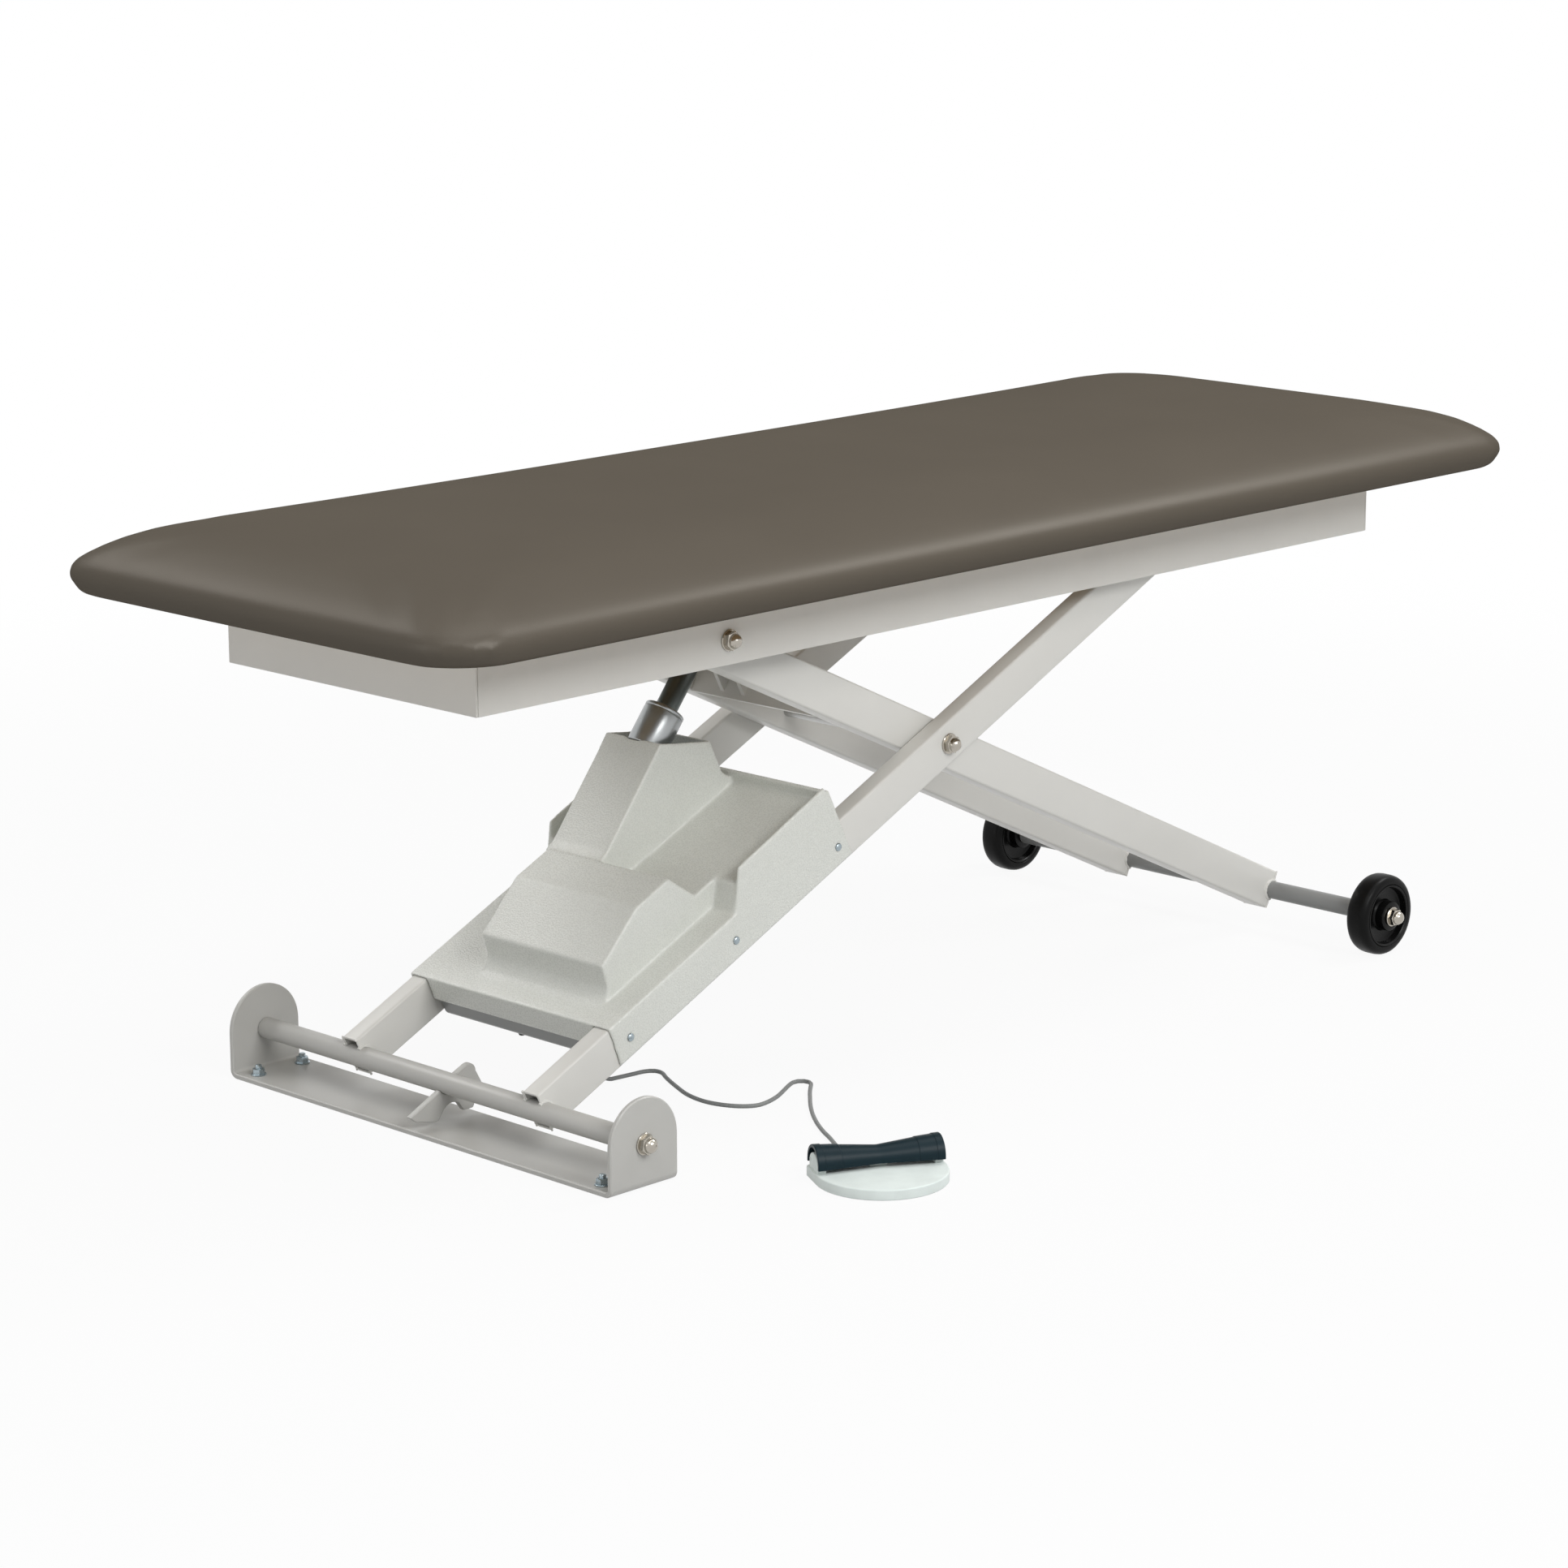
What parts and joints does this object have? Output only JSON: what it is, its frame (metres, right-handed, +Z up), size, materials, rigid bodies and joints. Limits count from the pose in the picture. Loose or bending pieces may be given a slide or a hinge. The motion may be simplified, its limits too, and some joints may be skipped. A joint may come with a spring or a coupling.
{
  "type": "electric examination table",
  "caption": "Padded examination table on an X-shaped electric lift with a bent base bracket, floor wheels, a moulded drive cover and a corded foot switch.",
  "frame": {"origin": "centre of the base plate's underside, on the floor below the base shaft's middle", "axes": "+X from the base bracket to the wheels along the table, +Y across the table, +Z up"},
  "size_m": [1.829, 0.9099, 0.6927],
  "materials": {
    "frame_paint": "satin powder coat, warm light grey",
    "base_paint": "satin powder coat, light grey",
    "mid_grey_paint": "satin powder coat, mid grey",
    "cover_plastic": "finely stippled moulded plastic, pale greenish grey",
    "black_plastic": "satin black",
    "wheel_rubber": "black rubber",
    "pad_vinyl": "soft upholstery vinyl, taupe",
    "plywood": "raw plywood",
    "nickel": "bright nickel plate",
    "zinc": "zinc plate",
    "silver": "satin aluminium",
    "dark_steel": "dark ground steel",
    "plain_steel": "plain steel",
    "slate_plastic": "dark slate moulded plastic",
    "pale_plastic": "pale grey moulded plastic",
    "cord_grey": "grey cord sheath"
  },
  "bodies": {
    "base": {"base_bracket": "base_paint", "base_stud_1": "zinc", "base_stud_2": "zinc", "base_stud_3": "zinc", "base_stud_4": "zinc", "base_pivot_bolt_near": "nickel", "base_pivot_bolt_far": "nickel", "foot_switch_base": "pale_plastic", "pedal_pin": "plain_steel", "switch_cord_grip": "slate_plastic", "foot_switch_cord": "cord_grey"},
    "foot_pedal": {"foot_pedal": "slate_plastic"},
    "outer_arms": {"outer_arm_near": "frame_paint", "outer_arm_far": "frame_paint", "base_shaft": "base_paint", "stop_lug": "base_paint", "cross_pivot_rod": "plain_steel", "cross_pivot_nut_near": "nickel", "cross_pivot_nut_far": "nickel", "roller_axle": "plain_steel", "actuator_mount": "frame_paint", "actuator_rear_pin": "plain_steel", "control_box": "mid_grey_paint", "mains_inlet": "black_plastic", "box_cord_grip": "black_plastic", "drive_cover": "cover_plastic", "cover_screw_1_near": "zinc", "cover_screw_1_far": "zinc", "cover_screw_2_near": "zinc", "cover_screw_2_far": "zinc", "cover_screw_3_near": "zinc", "cover_screw_3_far": "zinc"},
    "roller_near": {"roller_near": "black_plastic"},
    "roller_far": {"roller_far": "black_plastic"},
    "inner_arms": {"inner_arm_near": "frame_paint", "inner_arm_far": "frame_paint", "wheel_axle": "mid_grey_paint", "wheel_axle_nut_near": "nickel", "wheel_axle_nut_far": "nickel", "top_shaft": "frame_paint", "rod_bracket": "frame_paint"},
    "wheel_near": {"wheel_tyre_near": "wheel_rubber", "wheel_hub_near": "black_plastic"},
    "wheel_far": {"wheel_tyre_far": "wheel_rubber", "wheel_hub_far": "black_plastic"},
    "top": {"rail_near": "frame_paint", "rail_far": "frame_paint", "end_plate_base": "frame_paint", "end_plate_wheel": "frame_paint", "top_pivot_bolt_near": "nickel", "top_pivot_bolt_far": "nickel", "pad_board": "plywood", "pad": "pad_vinyl"},
    "actuator": {"actuator_gearbox": "black_plastic", "actuator_motor": "plain_steel", "actuator_tube": "silver"},
    "actuator_rod": {"actuator_rod": "dark_steel", "rod_end_eye": "plain_steel", "rod_end_pin": "plain_steel"}
  },
  "joints": [
    {"name": "lift", "type": "hinge", "parent": "base", "child": "outer_arms", "pos_m": [0, 0, 0.052], "axis": [0, -1, 0], "range_deg": [-10, 12], "deforming": ["foot_switch_cord"]},
    {"name": "scissor", "type": "hinge", "parent": "outer_arms", "child": "inner_arms", "pos_m": [0.65871, 0, 0.36197], "axis": [0, -1, 0], "range_deg": [-24.2, 20.2]},
    {"name": "top_level", "type": "hinge", "parent": "inner_arms", "child": "top", "pos_m": [0.25064, 0, 0.55399], "axis": [0, -1, 0], "range_deg": [-10.2, 12.2]},
    {"name": "actuator_swing", "type": "hinge", "parent": "outer_arms", "child": "actuator", "pos_m": [0.20923, 0.034, 0.19687], "axis": [0, -1, 0], "range_deg": [-0.6, 0.6]},
    {"name": "actuator_stroke", "type": "slide", "parent": "actuator", "child": "actuator_rod", "axis": [0.6225, 0, 0.7826], "range_m": [-0.0865, 0.1035]},
    {"name": "roller_near_spin", "type": "hinge", "parent": "outer_arms", "child": "roller_near", "pos_m": [1.06679, -0.1883, 0.55399], "axis": [0, 1, 0], "continuous": true},
    {"name": "roller_far_spin", "type": "hinge", "parent": "outer_arms", "child": "roller_far", "pos_m": [1.06679, 0.1883, 0.55399], "axis": [0, 1, 0], "continuous": true},
    {"name": "wheel_near_spin", "type": "hinge", "parent": "inner_arms", "child": "wheel_near", "pos_m": [1.31743, -0.313, 0.052], "axis": [0, 1, 0], "continuous": true},
    {"name": "wheel_far_spin", "type": "hinge", "parent": "inner_arms", "child": "wheel_far", "pos_m": [1.31743, 0.313, 0.052], "axis": [0, 1, 0], "continuous": true},
    {"name": "pedal_rock", "type": "hinge", "parent": "base", "child": "foot_pedal", "pos_m": [0.21216, -0.46959, 0.0195], "axis": [0.4802, 0.8771, 0], "range_deg": [-3.5, 3.5], "stiffness_Nm_per_rad": 12}
  ],
  "couplings": [
    {"joint": "scissor", "follows": "lift", "ratio": -2},
    {"joint": "top_level", "follows": "lift", "ratio": 1},
    {"joint": "actuator_swing", "follows": "lift", "ratio": -0.035},
    {"joint": "actuator_stroke", "follows": "lift", "m_per_rad": 0.4893}
  ]
}
